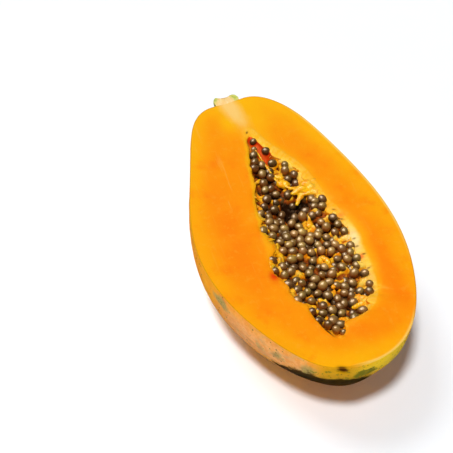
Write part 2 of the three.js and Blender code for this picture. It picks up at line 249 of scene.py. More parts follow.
class Shader:
    """A node material whose colour is painted on in layers, with a short method for each kind of node.

    A colour of three numbers is one as seen on the cut face; srgb() gives one of four.
    """

    def __init__(self, name, **constants):
        self.material = bpy.data.materials.new(name)
        self.material.use_nodes = True
        self.tree = self.material.node_tree
        self.inputs = self.tree.nodes["Principled BSDF"].inputs
        self.place = self.node("ShaderNodeTexCoord").outputs["Object"]
        self.color = None
        for key, value in constants.items():
            self.inputs[key.replace("_", " ")].default_value = value

    def node(self, kind, inputs=None, **settings):
        made = self.tree.nodes.new(kind)
        for key, value in settings.items():
            setattr(made, key, value)
        for key, value in (inputs or {}).items():
            self.plug(made.inputs[key], value)
        return made

    def plug(self, socket, value):
        if isinstance(value, bpy.types.NodeSocket):
            self.tree.links.new(value, socket)
        else:
            socket.default_value = seen(*value) if socket.type == "RGBA" and len(value) == 3 else value

    def attribute(self, name):
        return self.node("ShaderNodeAttribute", attribute_name=name).outputs["Fac"]

    def math(self, operation, a, b):
        return self.node("ShaderNodeMath", {0: a, 1: b}, operation=operation).outputs[0]

    def plus(self, a, b):
        return self.math("ADD", a, b)

    def minus(self, a, b):
        return self.math("SUBTRACT", a, b)

    def times(self, a, b):
        return self.math("MULTIPLY", a, b)

    def noise(self, per_mm, detail=3, roughness=0.5, place=None):
        """Noise from 0 to 1 with that many cycles a millimetre."""
        inputs = {"Vector": place or self.place, "Scale": per_mm / MM, "Detail": detail,
                  "Roughness": roughness}
        return self.node("ShaderNodeTexNoise", inputs).outputs["Fac"]

    def lengthwise(self, share):
        """The object coordinates, with the fruit's length squeezed, for noise in threads along it."""
        inputs = {"Vector": self.place, "Scale": (1, share, 1)}
        return self.node("ShaderNodeMapping", inputs).outputs["Vector"]

    def steps(self, value, low, high):
        """0 below low, 1 above high and smooth between them."""
        inputs = {"Value": value, "From Min": low, "From Max": high}
        return self.node("ShaderNodeMapRange", inputs, interpolation_type="SMOOTHSTEP").outputs["Result"]

    def range(self, value, low, high):
        """Stretches a value from 0 to 1 over another range."""
        inputs = {"Value": value, "To Min": low, "To Max": high}
        return self.node("ShaderNodeMapRange", inputs).outputs["Result"]

    def mix(self, share, a, b):
        return self.node("ShaderNodeMix", {0: share, 6: a, 7: b}, data_type="RGBA").outputs[2]

    def blend(self, value, a, b, low=0.35, high=0.65):
        """One colour below low, another above high."""
        return self.mix(self.steps(value, low, high), a, b)

    def paint(self, share, color, strength=None):
        """Lays a colour over the material's own."""
        self.color = self.mix(self.times(share, strength) if strength else share, self.color, color)

    def bump(self, height, depth_mm, normal=None):
        inputs = {"Height": height, "Distance": depth_mm * MM, "Strength": 1}
        if normal:
            inputs["Normal"] = normal
        return self.node("ShaderNodeBump", inputs).outputs["Normal"]

    def finish(self, roughness, normal=None):
        self.plug(self.inputs["Base Color"], self.color)
        self.plug(self.inputs["Roughness"], roughness)
        if normal:
            self.plug(self.inputs["Normal"], normal)
        return self.material


def flesh_material():
    """Moist cut flesh: yellow-orange by the skin, deeper orange inside, pale and fibrous at the cavity."""
    s = Shader("papaya flesh", Subsurface_Weight=0.1, Subsurface_Radius=(1, 0.35, 0.05),
               Subsurface_Scale=0.003, Specular_IOR_Level=0.25, Specular_Tint=(1, 0.66, 0.06, 1),
               Coat_Weight=0.02, Coat_Roughness=0.15)
    at = s.attribute
    from_skin, from_rim, pale_rim, red = at("from_skin"), at("from_rim"), at("pale_rim"), at("red")
    blotch, grain = s.noise(0.09, 5, 0.6), s.noise(0.9, 4, 0.6)
    uneven = s.plus(from_skin, s.range(s.noise(0.03, 3), -7, 7))
    s.color = s.blend(uneven, (255, 166, 4), (255, 148, 3), 2, 15)
    s.paint(s.steps(blotch, 0.5, 0.75), (255, 126, 2), 0.7)
    s.paint(s.steps(blotch, 0.48, 0.25), (255, 166, 16), 0.6)
    s.paint(s.times(at("deep"), s.range(blotch, 0.3, 1)), (255, 122, 2))
    s.paint(s.steps(s.noise(0.32, 3, 0.6), 0.55, 0.7), (255, 176, 50), 0.25)
    # Pale threads run along the fruit, most on its left side.
    threads = s.times(s.steps(s.noise(0.55, 3, 0.55, s.lengthwise(0.06)), 0.6, 0.75), at("streaks"))
    s.paint(threads, (255, 178, 66))
    # The cream zone runs from the stalk down to the cavity's tip.
    s.paint(at("yellow"), (255, 186, 8))
    veil = s.plus(at("cream"), s.range(s.noise(0.3, 3, 0.6, s.lengthwise(0.35)), -0.25, 0.25))
    s.paint(s.steps(veil, 0.1, 0.95), (253, 208, 122), 0.9)
    # The rim of the cavity is pale and fibrous, in a band 1 wide by the "from_edge" measure.
    rim_place = {"X": s.times(at("along"), 1 * MM), "Y": s.times(from_rim, 0.45 * MM)}
    fibres = s.noise(0.5, 4, 0.65, s.node("ShaderNodeCombineXYZ", rim_place).outputs[0])
    ragged = s.plus(at("from_edge"), s.range(s.noise(0.1, 2), -0.25, 0.25))
    ragged = s.plus(ragged, s.range(fibres, -0.3, 0.3))
    s.paint(s.times(s.steps(ragged, 2.1, 0.9), pale_rim), (255, 176, 10), 0.75)
    pale = s.times(s.steps(ragged, 1.15, 0.75), pale_rim)
    cream = s.blend(fibres, (255, 186, 26), (255, 204, 78))
    s.paint(pale, s.mix(s.times(s.steps(ragged, 1, 0.4), at("white_rim")), cream, (252, 228, 160)))
    s.paint(s.times(s.steps(ragged, 0.7, 0.2), at("left_rim")), (255, 184, 20))
    s.paint(red, (236, 66, 6))
    # Down the wall the flesh is yellower; deeper in, it is painted dark as shade in the cavity.
    wall = s.blend(s.noise(0.25, 3), (255, 176, 34), (250, 144, 10))
    s.paint(s.steps(from_rim, 0.2, -1), s.mix(red, wall, (206, 48, 6)))
    # Painted shade deep down the cavity's wall.
    s.paint(s.steps(from_rim, -6, -11), (120, 44, 8))
    # Painted shade: the torn slits are painted dark brown.
    s.paint(at("slit"), (110, 58, 10))
    # The skin shows on the face as a thin line, weaker in the cream zone and under the painted highlight by
    # the edge.
    line = s.steps(s.plus(from_skin, s.range(grain, -0.3, 0.3)), 0.8, 0.3)
    strength = s.minus(s.minus(0.7, at("cream")), s.times(at("edge_highlight"), 0.6))
    # Painted highlight: a pale line just inside the skin's edge, on the right and at the blossom end.
    s.paint(at("edge_highlight"), (252, 212, 110))
    s.paint(s.times(line, strength), (206, 148, 14))
    s.paint(at("scar"), (96, 52, 6))
    normal = s.bump(s.plus(s.range(grain, 0, 0.6), s.range(s.noise(2.4, 2), 0, 0.4)), 0.07)
    normal = s.bump(threads, 0.05, normal)
    normal = s.bump(s.times(fibres, pale), 0.35, normal)
    return s.finish(s.range(s.noise(0.3, 3), 0.36, 0.58), normal)


def skin_material():
    """Thin waxy skin: orange-yellow with green speckles and patches, a painted sheen, paler and pinker, on
    one side, and painted shade under the blossom end.
    """
    s = Shader("papaya skin", Subsurface_Weight=0.05, Subsurface_Radius=(1, 0.5, 0.1), Subsurface_Scale=0.002,
               Specular_IOR_Level=0.1, Specular_Tint=(1, 0.72, 0.1, 1))
    at = s.attribute
    broad, blotch, mottle = s.noise(0.03, 4, 0.6), s.noise(0.12, 5, 0.65), s.noise(0.4, 5, 0.62)
    green, lemon = at("green"), at("lemon")
    s.color = s.blend(broad, srgb(250, 168, 12), srgb(242, 150, 10))
    s.paint(s.steps(blotch, 0.5, 0.75), srgb(236, 128, 12), 0.6)
    s.paint(lemon, srgb(214, 156, 6))
    # Yellower skin at the blossom end, painted lighter too: partly its own colour, partly painted light.
    s.paint(at("lit_yellow"), srgb(255, 208, 26))
    # Painted sheen: the lower left is painted paler and pinker, for the floor's light reflected in the skin,
    # with darker mottled streaks in it.
    painted_sheen = s.times(at("painted_sheen"), s.range(blotch, 0.5, 1.2))
    s.paint(painted_sheen, s.blend(mottle, srgb(236, 156, 88), srgb(250, 178, 110), 0.4, 0.6))
    streaky = s.noise(0.16, 4, 0.6, s.lengthwise(0.3))
    s.paint(s.times(s.steps(streaky, 0.5, 0.7), painted_sheen), srgb(206, 164, 112))
    darker_streaks = s.times(s.steps(streaky, 0.46, 0.3), s.range(mottle, 0.2, 0.8))
    s.paint(s.times(darker_streaks, at("painted_sheen")), srgb(178, 136, 84))
    edge = s.plus(green, s.range(s.plus(blotch, s.range(mottle, -0.25, 0.25)), -0.6, 0.6))
    leafy = s.blend(mottle, srgb(138, 124, 74), srgb(196, 168, 96))
    lime = s.blend(mottle, srgb(120, 112, 6), srgb(176, 152, 8))
    s.paint(s.steps(edge, 0.2, 0.7), s.mix(lemon, leafy, lime), 0.9)
    # Speckles, thickest where it is greenest.
    greener = s.plus(s.plus(green, s.times(lemon, 0.8)), s.range(broad, -0.3, 0.4))
    above = s.minus(mottle, s.minus(0.68, s.times(greener, 0.14)))
    s.paint(s.steps(above, -0.01, 0.05), (128, 128, 24), 0.8)
    spots = s.node("ShaderNodeTexVoronoi", {"Vector": s.place, "Scale": 0.45 / MM, "Randomness": 1.0})
    chance = s.node("ShaderNodeSeparateColor", {"Color": spots.outputs["Color"]}).outputs["Red"]
    size = s.times(s.steps(chance, 0.6, 1), s.range(blotch, 0.1, 0.45))
    speck = s.steps(s.minus(spots.outputs["Distance"], size), 0.06, -0.06)
    s.paint(speck, (104, 84, 22), 0.75)
    # Painted shade: near-black patches with ragged edges under the blossom end, for its contact shadow.
    mixed = s.times(s.plus(blotch, mottle), 0.5)
    ragged = s.plus(at("dark"), s.range(mixed, 1.3, -1.3))
    s.paint(s.times(s.steps(ragged, 0.3, 0.8), s.range(mottle, 0.86, 1)), srgb(36, 25, 4))
    s.paint(at("scar"), (84, 44, 10))
    roughness = s.plus(s.range(blotch, 0.45, 0.65), s.times(at("scar"), 0.3))
    height = s.plus(s.range(s.noise(0.9, 4, 0.6), 0, 0.6), s.times(speck, 0.4))
    return s.finish(roughness, s.bump(height, 0.12))


def seed_material():
    """Seeds in their wet, translucent coats: khaki to purple-brown, with painted shade on their undersides,
    dark brown on some and a painted orange-brown glow of bounced light on others.
    """
    s = Shader("seeds wet", Specular_IOR_Level=1, Specular_Tint=(1, 0.8, 0.56, 1), Coat_Weight=0.15,
               Coat_Roughness=0.16)
    at = s.attribute
    lumps = s.noise(0.4, 3, 0.6)
    dark = s.mix(at("olive"), (68, 38, 22), (78, 52, 18))
    light = s.mix(at("olive"), (196, 144, 80), (198, 164, 80))
    s.color = s.mix(at("tone"), dark, light)
    s.paint(s.steps(lumps, 0.4, 0.7), (100, 68, 26), 0.35)
    s.paint(s.steps(s.noise(1.1, 3, 0.6), 0.5, 0.7), (196, 146, 84), 0.25)
    # Painted shade on the undersides: dark brown on some seeds, a painted orange-brown glow of bounced light
    # on others.
    s.paint(at("warmth"), s.mix(at("redness"), (38, 18, 5), (150, 72, 8)))
    return s.finish(s.range(lumps, 0.3, 0.42), s.bump(s.noise(0.6, 2, 0.5), 0.08))


def pulp_material():
    """Soft wet placenta: yellow, paler by the right rim."""
    s = Shader("papaya pulp", Coat_Weight=0.15, Coat_Roughness=0.15, Subsurface_Weight=0.2,
               Subsurface_Radius=(1, 0.6, 0.1), Subsurface_Scale=0.002, Specular_IOR_Level=0.3,
               Specular_Tint=(1, 0.85, 0.5, 1))
    s.color = s.blend(s.noise(0.25, 3), (255, 160, 4), (255, 196, 26))
    s.paint(s.steps(s.noise(0.12, 2), 0.6, 0.8), (255, 216, 96))
    s.paint(s.attribute("pale"), (254, 216, 124))
    return s.finish(s.range(s.noise(0.5), 0.25, 0.45), s.bump(s.noise(0.9, 4, 0.6), 0.2))


def bed_material():
    """The wet fibres between the seeds: orange and yellow, with painted shade in the hollows."""
    s = Shader("seed bed", Specular_IOR_Level=0.12, Specular_Tint=(1, 0.7, 0.35, 1))
    height = s.attribute("height")
    # Painted shade: the lower the fibres lie, the darker they are painted.
    s.color = s.blend(height, (36, 16, 6), (150, 66, 10), -1.2, 0.2)
    s.paint(s.steps(height, 0.2, 1.4), s.blend(s.noise(0.3, 3, 0.6), (248, 140, 8), (255, 196, 40)))
    s.paint(s.steps(height, 2.2, 3.4), (255, 208, 84))
    s.paint(s.attribute("red"), (214, 66, 8))
    return s.finish(s.range(s.noise(0.5), 0.3, 0.55), s.bump(s.noise(0.7, 4, 0.6), 0.4))


def stalk_cut_material():
    """The stalk's pale fibrous inside, with the bark's green at its sides."""
    s = Shader("stalk pith", Specular_IOR_Level=0.3, Subsurface_Weight=0.1,
               Subsurface_Radius=(1, 0.6, 0.2), Subsurface_Scale=0.002)
    fibres = s.noise(1.1, 4, 0.6, s.lengthwise(0.16))
    s.color = s.blend(fibres, (253, 206, 124), (253, 222, 160), 0.35, 0.7)
    s.paint(s.attribute("rind"), s.blend(s.noise(0.35, 3), (188, 194, 72), (228, 220, 120)))
    return s.finish(0.6, s.bump(fibres, 0.3))


def rind_material():
    """The stalk's green-yellow bark."""
    s = Shader("stalk rind", Specular_IOR_Level=0.35)
    grain = s.noise(0.7, 5, 0.65, s.lengthwise(0.3))
    s.color = s.blend(grain, (150, 152, 50), (212, 196, 92), 0.35, 0.7)
    s.paint(s.steps(s.noise(0.5, 4), 0.6, 0.7), (120, 92, 34))
    return s.finish(0.62, s.bump(grain, 0.4))


def floor_material():
    s = Shader("floor", Specular_IOR_Level=0.6)
    s.color = s.mix(s.noise(0.02, 2), (0.835, 0.87, 0.91, 1), (0.855, 0.89, 0.93, 1))
    return s.finish(0.32)


# ---- The body ----

# The rim is rounded off by this much; on the right it also slopes down to the seeds, over this reach.
RIM_DROP, RIGHT_LIP, RIGHT_REACH = 0.8, 1.7, 3.2
RIDGE_HEIGHT, WAVE_HEIGHT = 0.35, 0.12
# Noise on the wall and on the skin, coarse and fine, as (height, size); the first fades with this depth.
WALL_COARSE, WALL_FINE, WALL_FADE = (0.7, 4.5), (0.35, 1.9), 9
SKIN_COARSE, SKIN_FINE, SKIN_SINK = (0.35, 22), (0.12, 6), 0.2
# How many points of the rim, each way, a point of its smooth line is the mean of.
RIM_SMOOTHING = 12
# How much the face's rings crowd towards the skin and the rim.
RING_CROWDING = 0.6
# The dark scar at the blossom end, which is at y less than this.
SCAR_X, SCAR_Z, SCAR_DENT, BLOSSOM_Y = -4.8, -1, 1.4, -60
# A measure that no point on the fruit reaches, for points that it doesn't apply to.
FAR = 60.0

# Small swellings of the rim: (distance, side, reach, width); a negative reach is a notch.
RIM_BUMPS = (
    (126, 1, 8.5, 7.5), (152.5, 1, 1.2, 4), (144.5, 1, 1.2, 3), (134.5, 1, 1.8, 5), (117, 1, 1.5, 4),
    (108, 1, 3.4, 6), (97, 1, 1.6, 5), (86, 1, 1.6, 6), (76, 1, 0.6, 5), (66, 1, 1.2, 6), (54, 1, 2, 6),
    (43, 1, 3.4, 7), (108, -1, 1.8, 7), (86, -1, 2.2, 9), (60, -1, 1, 5), (45, -1, 1.8, 6),
    (64.5, 1, -1.2, 2), (49.5, 1, -1, 2), (34.5, 1, -1.2, 3), (135, -1, 0.8, 4), (147, -1, 0.6, 3),
    (155, 1, 1.2, 5),
)
# Short torn slits in the pale rim, their shade painted dark: (x, distance, turn in radians from lying across
# the fruit, half length).
SLITS = (
    (32, 62.8, 0.3, 1.9), (28.8, 49.4, -0.8, 1.9), (30.4, 100.6, -0.7, 1.3), (33, 72.4, 0.2, 1),
    (31.8, 84.4, 0.2, 0.9), (31.6, 79, 0.3, 0.9), (28.4, 107.4, -0.5, 1), (-0.6, 175.6, 1, 1),
)
SLIT_WIDTH = 0.5
# Marks that fade from a middle: (strength, x, distance, reach across, reach along).
MARKS = {
    "streaks": ((0.75, -28, 130, 12, 50), (0.4, -24, 182, 10, 12), (0.5, 18, 168, 8, 12),
                (0.5, 39, 112, 5, 14)),
    "yellow": ((0.8, 6, 186, 13, 18), (0.7, -9, 187, 6, 11), (0.55, 4, 4, 40, 11), (0.8, 18, 126, 9, 6)),
    "deep": ((1, -32, 95, 9, 42), (1, 42, 40, 8, 20), (1, 14, 22, 16, 7), (0.6, 41, 66, 6, 20)),
    "white_rim": ((1, 32, 85, 9, 9), (0.25, 30, 56, 14, 9)),
    "red": ((1.1, -19.2, 67, 2.4, 3.2), (0.9, 31.4, 71.4, 1.2, 1.8), (0.6, 30.8, 103, 2, 1.6)),
    "red_wall": ((1.5, 5, 160.5, 5, 8), (1.5, 1, 170.5, 3.5, 4.5)),
    "red_bed": ((1.3, 3.2, 163, 2.8, 3.5), (1.3, 6.4, 156, 2.8, 4.5)),
    "light_seeds": ((0.65, 10, 86, 15, 30),),
    "pale_pulp": ((1, 30, 80, 20, 34),),
    "no_line": ((1.3, -1, 0, 15, 4),),
}
# Patches on the skin: (x, distance, z, reach across, reach along, strength).
PATCHES = {
    "green": (
        (-49, 61, -6, 3.4, 9, 1), (-44, 46, -16, 3, 8, 0.5), (-38, 33, -12, 5, 5, 0.45),
        (26, 8, -8, 6, 5, 0.45), (-31, 23, -9, 4, 6, 0.6), (-19, 9, -7, 5, 5, 0.7), (6, 1, -7, 4, 4, 0.9),
        (12, 2, -8, 3, 4, 0.8), (-19, 13, -18, 8, 8, 0.6), (35, 14, -26, 14, 14, 0.5),
        (45, 120, -30, 16, 22, 0.6), (-20, 150, -30, 18, 24, 0.5), (10, 196, -14, 14, 14, 0.7),
        (20, 80, -52, 20, 26, 0.4), (-30, 100, -40, 14, 20, 0.4),
    ),
    "lemon": ((-8, 3, -6, 9, 8, 1.3), (4, 1, -10, 10, 7, 1.2), (14, 2, -12, 9, 8, 0.8),
              (0, 190, -25, 20, 16, 0.4)),
    # Yellower skin painted lighter too: partly its own colour, partly painted light.
    "lit_yellow": ((20, 4, -4, 9, 8, 1.2), (30, 10, -5, 9, 9, 1.2), (8, 1, -3, 6, 5, 0.5)),
    # Where the skin is painted paler and pinker: painted sheen of the floor's light.
    "painted_sheen": ((-43, 46, -14, 12, 16, 1.3), (-32, 25, -10, 12, 12, 1.1), (-22, 12, -6, 8, 6, 0.8)),
    # Painted shade under the blossom end, for its contact shadow.
    "dark": ((-15, 12, -22, 9, 9, 3.2), (-1, 5, -21, 9, 9, 3), (-26, 22, -25, 8, 9, 1.4),
             (12, 8, -24, 8, 8, 1)),
}
# How measures change along the fruit: distances, and the value at each.
RIM_BAND = (42, 64, 84, 94, 104, 112, 130, 150), (2.8, 5, 6, 5, 3.6, 3, 3.4, 5)
PALE_RIM = (30, 46, 94, 104, 126, 140, 165), (0.25, 0.9, 0.9, 0.5, 0.4, 0.6, 0.8)
# How strong the painted highlight along the face's edge is, along the fruit.
EDGE_HIGHLIGHT = (20, 32, 60, 95, 180, 195), (0.8, 0, 0, 0.7, 0.7, 0)


def gauss(x, y, middle_x, middle_y, reach_x, reach_y):
    return np.exp(-(((x - middle_x) / reach_x) ** 2 + ((y - middle_y) / reach_y) ** 2))


def marks(name, x, distance):
    return sum(strength * gauss(x, distance, *where) for strength, *where in MARKS[name])


def patches(places, x, distance, z):
    total = np.zeros_like(x)
    for px, pd, pz, wide, long, strength in places:
        across = ((x - px) ** 2 + (z - pz) ** 2) / wide ** 2
        total = total + strength * np.exp(-across - ((distance - pd) / long) ** 2)
    return bounded(total)


def slits(x, distance):
    total = np.zeros_like(x)
    for middle_x, middle, direction, reach in SLITS:
        turned = (x - middle_x + 1j * (distance - middle)) * np.exp(-1j * direction)
        total = total + gauss(turned.real, turned.imag, 0, 0, reach, SLIT_WIDTH)
    return bounded(1.2 * total)


def gentle_side(distance):
    """How much the right side of the face slopes towards the cavity, from 0 to 1."""
    return bounded((distance - 32) / 14) * bounded((136 - distance) / 22)


def rim_push(points):
    """How far the wall stands into the cavity at each point: swellings and notches, fading with depth."""
    x, y, z = points.T
    distance = y + MIDDLE
    side = np.sign(x - np.interp(distance, EDGE_AT, (EDGE_LEFT + EDGE_RIGHT) / 2))
    push = wobble(points, *WALL_COARSE) + wobble(points, *WALL_FINE, 3)
    for at, where, reach, width in RIM_BUMPS:
        push = push + np.where(side == where, reach * np.exp(-((distance - at) / (width / 2)) ** 2), 0)
    return push * np.exp(-(z / WALL_FADE) ** 2)


def skin_rows(angles):
    """One row of points round the underside at each station, from the right edge to the left."""
    around = np.linspace(0, -pi, SKIN_STEPS + 1)
    grid = np.stack(skin_points(angles[:, None], around[None, :]), -1)
    inner = grid[:, 1:-1].reshape(-1, 3)
    middle = np.stack([np.repeat(outline(angles)[0], SKIN_STEPS - 1), inner[:, 1], np.zeros(len(inner))], -1)
    lumps = wobble(inner, *SKIN_COARSE) + wobble(inner, *SKIN_FINE, 5) - SKIN_SINK
    outward = inner - middle
    length = np.linalg.norm(outward, axis=1, keepdims=True)
    near_edge = bounded(-inner[:, 2:3] / 3)
    inner = inner + (outward / np.maximum(length, 1e-6) * lumps[:, None] * near_edge
                     * bounded(length / 12))
    grid[:, 1:-1] = inner.reshape(len(angles), -1, 3)
    grid[..., 2] = np.maximum(grid[..., 2], -DEEPEST)
    dent = SCAR_DENT * gauss(grid[..., 0], grid[..., 2], SCAR_X, SCAR_Z, 2.2, 1.8)
    grid[..., 1] += np.where((grid[..., 1] < BLOSSOM_Y) & (grid[..., 2] < -0.02), dent, 0)
    return grid


def wall_rows(distances, slope):
    """One row of points round the hollow at each station, from the right rim to the left, and the rim's
    smooth line."""
    middle, half = np.array([cavity_across(d) for d in distances]).T[..., None]
    turn = np.linspace(0, -pi, WALL_STEPS + 1)[None, :]
    lip = np.minimum(RIM_DROP + RIGHT_LIP * slope[:, None] * (1 + np.cos(turn)) / 2, 0.4 * half)
    z = -lip + np.maximum(half * CAVITY_ROUNDNESS - lip, 0) * np.sin(turn)
    x = middle + half * np.cos(turn)
    wall = np.stack([x, np.repeat((distances - MIDDLE)[:, None], WALL_STEPS + 1, 1), z], -1)
    line = np.concatenate([wall[:, 0], wall[::-1, -1]])[:, :2]
    window = 2 * RIM_SMOOTHING + 1
    padded = np.pad(line[:, 0], RIM_SMOOTHING, mode="edge")
    line[:, 0] = np.convolve(padded, np.ones(window) / window, mode="valid")
    push = rim_push(wall.reshape(-1, 3)).reshape(x.shape) * np.clip(half / 8, 0.15, 1)
    wall[..., 0] -= push * np.cos(turn)
    return wall, line


def face_ring(outer, rim, share, to_rim, along, gentle):
    """A ring of points on the face, part of the way from the skin's edge to the cavity's rim."""
    ring = outer + (rim - outer) * share
    fall = -rim[:, 2] * np.exp(-to_rim / (0.8 + RIGHT_REACH * gentle))
    ridges = wobble(np.stack([along / 0.9, to_rim / 4, 0 * along], -1), 1, 1, 4)
    ridges = RIDGE_HEIGHT * (ridges - 0.6) * gentle * np.exp(-((to_rim / 5) ** 2))
    waves = WAVE_HEIGHT * (1 + wobble(ring, 1, 16, 2)) * min(1, share * 6)
    ring[:, 2] = np.minimum(ridges - fall - waves, 0)
    return ring


def face_marks(points, from_skin):
    """What the materials paint at each point, as values by name."""
    x, y, z = points.T
    distance = y + MIDDLE

    def mark(name):
        return marks(name, x, distance)

    from_skin = np.maximum(from_skin - mark("no_line"), 0)
    outward = np.where(z > -0.3, np.minimum(from_skin, FAR), z)
    # The right side of the cavity, which narrows towards the stalk.
    right = bounded((x - 6 + 12 * bounded((distance - 120) / 50)) / 10)
    by_skin = np.exp(-(from_skin / np.where(x > 0, 11, 6)) ** 2)
    deep_in = bounded(-(z + 0.7) * 3)
    veins = gauss(x - STUB_X - (200 - distance) * 0.18, distance, 0, 204, 6, 27)
    scar = 1.9 * gauss(x + 0.35 * outward, outward, SCAR_X, SCAR_Z, 2.1, 1.7)
    values = {
        "from_skin": from_skin,
        "streaks": 0.08 + mark("streaks"),
        "cream": 1.05 * veins,
        "yellow": mark("yellow") + 0.55 * bounded((distance - 110) / 50) * by_skin,
        # The painted highlight along the right edge of the face.
        "edge_highlight": (bounded(x / 10) * np.interp(distance, *EDGE_HIGHLIGHT)
                       * bounded(1.6 - from_skin)),
        "deep": mark("deep"),
        "pale_rim": right * np.interp(distance, *PALE_RIM),
        "white_rim": right * mark("white_rim"),
        "left_rim": 0.85 * (1 - right) * np.clip((distance - 60) / 50, 0.25, 1),
        "red": bounded(mark("red") + mark("red_wall") * deep_in),
        "slit": slits(x, distance),
        "scar": np.where(y < BLOSSOM_Y, bounded(scar), 0),
    }
    return values | {name: patches(places, x, distance, z) for name, places in PATCHES.items()}


def make_body(flesh, skin):
    """Skin, cut face and cavity wall as one closed surface that shares its points where they meet."""
    angles = np.linspace(0, pi, STATIONS + 1)[1:-1]
    rows = len(angles)
    distances = CAVITY_FROM + (CAVITY_TO - CAVITY_FROM) * (1 - np.cos(angles)) / 2
    slope = gentle_side(distances)
    skin_grid = skin_rows(angles)
    wall, rim_line = wall_rows(distances, slope)
    poles = [np.array(skin_points(np.array(a), np.array(0))) for a in (0, pi)]
    tips = [np.array([cavity_across(d)[0], d - MIDDLE, -0.3]) for d in (CAVITY_FROM, CAVITY_TO)]

    # Face: rings of points from the skin's edge to the cavity's rim.
    outer = round_trip(poles[0], skin_grid, poles[1])
    rim = round_trip(tips[0], wall, tips[1])
    gentle = np.concatenate([[0], slope, [0], np.zeros(rows)])
    along = np.concatenate([[0], np.cumsum(np.linalg.norm(np.diff(rim, axis=0), axis=1))])
    span = np.linalg.norm((rim - outer)[:, :2], axis=1)
    shares = np.linspace(0, 1, FACE_STEPS + 1)[1:-1]
    shares = shares - RING_CROWDING * np.sin(2 * pi * shares) / (2 * pi)
    rings = [face_ring(outer, rim, share, span * (1 - share), along, gentle) for share in shares]

    # Number the points and join them up.
    points = np.concatenate([poles, tips, skin_grid.reshape(-1, 3), wall.reshape(-1, 3), *rings])
    skin_ids = np.arange(rows * (SKIN_STEPS + 1)).reshape(rows, -1) + 4
    wall_ids = np.arange(rows * (WALL_STEPS + 1)).reshape(rows, -1) + 4 + skin_ids.size
    ring_ids = np.arange(len(rings) * len(outer)).reshape(len(rings), -1) + 4 + skin_ids.size + wall_ids.size
    outer_ids = round_trip(0, skin_ids, 1)
    rim_ids = round_trip(2, wall_ids, 3)
    face_ids = np.concatenate([[outer_ids], ring_ids, [rim_ids]])
    face_ids = np.concatenate([face_ids, face_ids[:, :1]], axis=1)
    skin_faces = grid_faces(skin_ids) + fan(0, skin_ids[0]) + fan(1, skin_ids[-1])
    flesh_faces = grid_faces(face_ids) + grid_faces(wall_ids) + fan(2, wall_ids[0]) + fan(3, wall_ids[-1])

    # How far each point is from the skin and from the rim, and how far along the rim.
    from_skin, from_rim, from_edge = np.full((3, len(points)), FAR)
    along_rim = np.zeros(len(points))
    from_skin[outer_ids] = 0
    for ids, share in zip(ring_ids, shares):
        from_skin[ids] = span * share
        from_rim[ids] = span * (1 - share)
    from_rim[wall_ids.ravel()] = points[wall_ids.ravel(), 2] + RIM_DROP
    from_rim[rim_ids] = 0
    for ids in (*ring_ids, rim_ids):
        along_rim[ids] = along
        gaps = points[ids][:, None, :2] - rim_line[None]
        band = np.interp(points[ids, 1] + MIDDLE, *RIM_BAND)
        from_edge[ids] = np.sqrt((gaps ** 2).sum(-1).min(1)) / band
    from_edge[wall_ids.ravel()] = 0
    values = face_marks(points, from_skin)
    values.update(from_rim=from_rim, from_edge=from_edge, along=along_rim)
    kinds = [1] * len(skin_faces) + [0] * len(flesh_faces)
    make_object("papaya_body", points, skin_faces + flesh_faces, [flesh, skin], "fruit", "fruit_half",
                values, kinds)


# ---- The seeds ----

# Gaps between the upper seeds, and holes down through all the seeds: (x, distance, radius).
GAPS = (
    (5.5, 158.5, 5.5), (0, 167, 5), (-2.5, 157.5, 4.5), (2.5, 28.5, 6), (12.5, 146, 5.5), (16.5, 139.5, 4),
    (19.3, 62.3, 3), (-4, 70, 2.6), (9, 88, 2.6), (13.5, 76.5, 2.8), (7, 48, 2.6), (13, 103, 2.8),
)
HOLES = (
    (6.7, 119.6, 3.9), (5.7, 106.4, 3), (4.5, 133.3, 2.8), (15.5, 121, 3.6), (13, 116, 2.8),
    (23.6, 100.3, 3),
)
# At the walls the seeds ride up and out over the rim: (side, reach, shift, rise).
RIDES = (-1, 6.5, 2, 1.5), (1, 6, 0.6, 0.7)
# Seeds in the cavity's narrow ends and against its right rim: (x, distance, z, radius).
TIP_SEEDS = (
    (1.2, 169, -1.6, 1.9), (6.2, 160.4, -1.9, 2.3), (-1.9, 158.2, -1.6, 2.3), (-2.6, 153.2, -1.8, 2.3),
    (6.8, 150.6, -2.4, 2.4), (1, 151.6, -3.6, 2.3), (0.2, 164.2, -3.6, 1.9), (13.2, 147.6, -1.9, 2.1),
    (11.9, 142.9, -2, 2.4), (15.8, 139, -2, 2.4), (28.8, 91.4, -2.2, 2.2), (28.4, 80.6, -2, 2.3),
    (26.9, 76.2, -2.9, 2.2), (28.4, 71, -2, 2.3), (27, 67, -2.9, 2.2), (28.8, 59.8, -1.9, 2.3),
    (25, 117, -1.9, 2.3), (20.8, 117.2, -3, 2.3), (23.4, 112.6, -2.6, 2.2), (28.8, 52.4, -2, 2.1),
    (-1.6, 30.8, -1.9, 2.3), (1.5, 26.8, -2, 2.2), (4.7, 29.7, -2.2, 2.3), (2, 33.4, -3.2, 2.3),
    (4.6, 24.8, -3, 1.8),
)


def random_numbers(start):
    """Numbers from 0 to 1, the same on every run and the same as in the part's source."""
    state = start
    while True:
        state = (state * 1664525 + 1013904223) % 4294967296
        yield state / 4294967296


def bed_height(x, y):
    distance = y + MIDDLE
    middle, half = cavity_across(distance) if CAVITY_FROM < distance < CAVITY_TO else (x, 0)
    inward = 1 - min(1, abs(x - middle) / max(half, 1)) ** 2
    hole = ((x - BED_HOLE_X) ** 2 + (distance - BED_HOLE_DISTANCE) ** 2) / BED_HOLE_RADIUS ** 2
    return SEED_TOP - BED_SAG * inward * min(1, half / 20) - BED_HOLE_DEPTH * exp(-hole)


